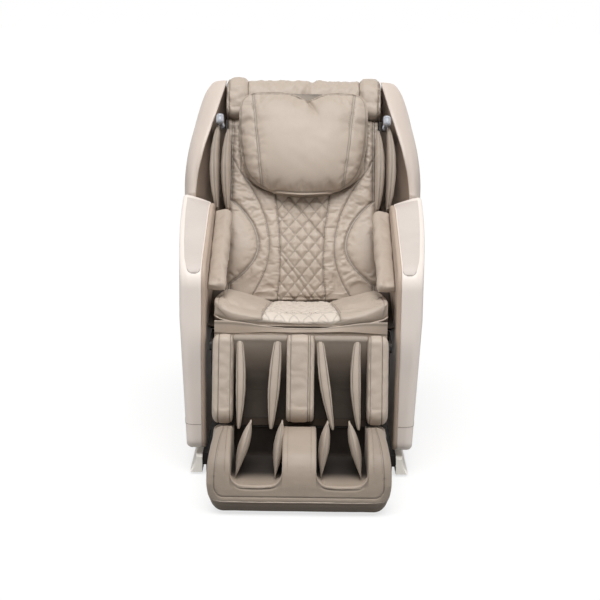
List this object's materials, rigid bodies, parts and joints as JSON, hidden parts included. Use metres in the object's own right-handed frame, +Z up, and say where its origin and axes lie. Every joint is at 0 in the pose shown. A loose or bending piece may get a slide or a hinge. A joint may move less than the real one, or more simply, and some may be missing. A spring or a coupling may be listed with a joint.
{
  "type": "massage chair",
  "caption": "Zero-gravity massage chair in cream leather: padded seat and back, side panels, wing shells, and a leg rest with calf and foot wells.",
  "frame": {"origin": "on the floor, under the centre of the chair's bounding box", "axes": "+X to the sitter's left, +Y towards the back of the chair, +Z up"},
  "size_m": [0.7828, 1.1914, 1.1653],
  "materials": {
    "leather": "smooth taupe leather",
    "leather_light": "smooth light beige leather",
    "lining": "dark brown lining",
    "shell": "satin cream moulding",
    "shell_warm": "satin warm beige moulding",
    "skirt": "matt cream moulding",
    "black_plastic": "matt black",
    "steel": "black powder coat",
    "rod": "ground steel",
    "speaker": "satin dark grey",
    "rubber": "matt black"
  },
  "bodies": {
    "base": {"base_frame": "steel", "base_skirt_left": "skirt", "base_skirt_right": "skirt", "floor_skid_left": "rubber", "floor_skid_right": "rubber", "power_box": "black_plastic"},
    "wheel_left": {"transport_wheel_left": "rubber"},
    "wheel_right": {"transport_wheel_right": "rubber"},
    "switch": {"power_switch": "black_plastic"},
    "tilt_barrel": {"tilt_drive_barrel": "black_plastic"},
    "tilt_rod": {"tilt_drive_rod": "rod"},
    "seat_unit": {"seat_frame": "steel", "seat_pad": "leather_light", "seat_flap": "leather", "side_panel_left": "shell", "side_panel_right": "shell", "side_lining_left": "leather", "side_lining_right": "leather", "arm_top_pad_left": "leather_light", "arm_top_pad_right": "leather_light", "arm_cushion_left": "leather", "arm_cushion_right": "leather", "pump_unit": "black_plastic"},
    "back_barrel": {"back_drive_barrel": "black_plastic"},
    "back_rod": {"back_drive_rod": "rod"},
    "leg_barrel": {"leg_drive_barrel": "black_plastic"},
    "leg_rod": {"leg_drive_rod": "rod"},
    "backrest": {"back_frame": "steel", "back_pad": "leather", "shoulder_yoke": "leather", "rear_cover": "black_plastic", "wing_left": "shell_warm", "wing_right": "shell_warm", "shoulder_airbags_left": "leather", "shoulder_airbags_right": "leather", "speaker_left": "speaker", "speaker_right": "speaker"},
    "pillow": {"head_pillow": "leather_light"},
    "carriage": {"massage_carriage": "black_plastic"},
    "arm_left": {"massage_arm_left": "rod"},
    "arm_right": {"massage_arm_right": "rod"},
    "roller_upper_left": {"upper_roller_left": "black_plastic"},
    "roller_upper_right": {"upper_roller_right": "black_plastic"},
    "roller_lower_left": {"lower_roller_left": "black_plastic"},
    "roller_lower_right": {"lower_roller_right": "black_plastic"},
    "leg_unit": {"calf_frame": "steel", "calf_bolster_left": "leather", "calf_bolster_right": "leather", "calf_bolster_centre": "leather", "calf_back_pad": "lining", "calf_airbag_outer_left": "leather", "calf_airbag_outer_right": "leather", "calf_airbag_inner_left": "leather", "calf_airbag_inner_right": "leather"},
    "foot_unit": {"foot_frame": "steel", "foot_shell": "leather", "foot_airbag_outer_left": "leather", "foot_airbag_outer_right": "leather", "foot_airbag_inner_left": "leather", "foot_airbag_inner_right": "leather"}
  },
  "joints": [
    {"name": "zero_gravity_tilt", "type": "hinge", "parent": "base", "child": "seat_unit", "pos_m": [0, 0.21432, 0.24], "axis": [-1, 0, 0], "range_deg": [0, 20]},
    {"name": "backrest_recline", "type": "hinge", "parent": "seat_unit", "child": "backrest", "pos_m": [0, 0.18432, 0.42], "axis": [-1, 0, 0], "range_deg": [0, 40]},
    {"name": "legrest_lift", "type": "hinge", "parent": "seat_unit", "child": "leg_unit", "pos_m": [0, -0.29068, 0.42], "axis": [-1, 0, 0], "range_deg": [0, 75]},
    {"name": "footrest_extend", "type": "slide", "parent": "leg_unit", "child": "foot_unit", "axis": [0, -0.2419, -0.9703], "range_m": [0, 0.12]},
    {"name": "carriage_travel", "type": "slide", "parent": "backrest", "child": "carriage", "axis": [0, 0.4067, 0.9135], "range_m": [-0.16, 0.16]},
    {"name": "knead_left", "type": "hinge", "parent": "carriage", "child": "arm_left", "pos_m": [0.05, 0.37519, 0.69625], "axis": [-1, 0, 0], "range_deg": [-10, 10]},
    {"name": "knead_right", "type": "hinge", "parent": "carriage", "child": "arm_right", "pos_m": [-0.05, 0.37519, 0.69625], "axis": [-1, 0, 0], "range_deg": [-10, 10]},
    {"name": "upper_roller_left_spin", "type": "hinge", "parent": "arm_left", "child": "roller_upper_left", "pos_m": [0.073, 0.38356, 0.76915], "axis": [1, 0, 0], "continuous": true},
    {"name": "upper_roller_right_spin", "type": "hinge", "parent": "arm_right", "child": "roller_upper_right", "pos_m": [-0.073, 0.38356, 0.76915], "axis": [1, 0, 0], "continuous": true},
    {"name": "lower_roller_left_spin", "type": "hinge", "parent": "arm_left", "child": "roller_lower_left", "pos_m": [0.073, 0.32662, 0.64125], "axis": [1, 0, 0], "continuous": true},
    {"name": "lower_roller_right_spin", "type": "hinge", "parent": "arm_right", "child": "roller_lower_right", "pos_m": [-0.073, 0.32662, 0.64125], "axis": [1, 0, 0], "continuous": true},
    {"name": "pillow_lift", "type": "hinge", "parent": "backrest", "child": "pillow", "pos_m": [0, 0.40544, 1.11405], "axis": [-1, 0, 0], "range_deg": [0, 80]},
    {"name": "wheel_left_spin", "type": "hinge", "parent": "base", "child": "wheel_left", "pos_m": [0.275, 0.49032, 0.038], "axis": [1, 0, 0], "continuous": true},
    {"name": "wheel_right_spin", "type": "hinge", "parent": "base", "child": "wheel_right", "pos_m": [-0.275, 0.49032, 0.038], "axis": [1, 0, 0], "continuous": true},
    {"name": "switch_rock", "type": "hinge", "parent": "base", "child": "switch", "pos_m": [0.052, 0.44232, 0.1173], "axis": [-1, 0, 0], "range_deg": [0, 10]},
    {"name": "tilt_barrel_swing", "type": "hinge", "parent": "base", "child": "tilt_barrel", "pos_m": [0.06, -0.14568, 0.096], "axis": [-1, 0, 0], "range_deg": [0, 2.3]},
    {"name": "tilt_rod_stroke", "type": "slide", "parent": "tilt_barrel", "child": "tilt_rod", "axis": [0, 0.3235, 0.9462], "range_m": [0, 0.102]},
    {"name": "back_barrel_swing", "type": "hinge", "parent": "seat_unit", "child": "back_barrel", "pos_m": [0, -0.11568, 0.37], "axis": [-1, 0, 0], "range_deg": [-7.1, 0]},
    {"name": "back_rod_stroke", "type": "slide", "parent": "back_barrel", "child": "back_rod", "axis": [0, 0.9913, -0.1319], "range_m": [-0.054, 0]},
    {"name": "leg_barrel_swing", "type": "hinge", "parent": "seat_unit", "child": "leg_barrel", "pos_m": [-0.06, 0.09432, 0.38], "axis": [-1, 0, 0], "range_deg": [-8.3, 0]},
    {"name": "leg_rod_stroke", "type": "slide", "parent": "leg_barrel", "child": "leg_rod", "axis": [0, -1, 0.0009], "range_m": [0, 0.093]}
  ],
  "couplings": [
    {"joint": "tilt_barrel_swing", "follows": "zero_gravity_tilt", "ratio": 0.109},
    {"joint": "tilt_rod_stroke", "follows": "zero_gravity_tilt", "m_per_rad": 0.2901},
    {"joint": "back_barrel_swing", "follows": "backrest_recline", "ratio": -0.1756},
    {"joint": "back_rod_stroke", "follows": "backrest_recline", "m_per_rad": -0.07699},
    {"joint": "leg_barrel_swing", "follows": "legrest_lift", "ratio": -0.1096},
    {"joint": "leg_rod_stroke", "follows": "legrest_lift", "m_per_rad": 0.07085},
    {"joint": "knead_right", "follows": "knead_left", "ratio": -1}
  ]
}
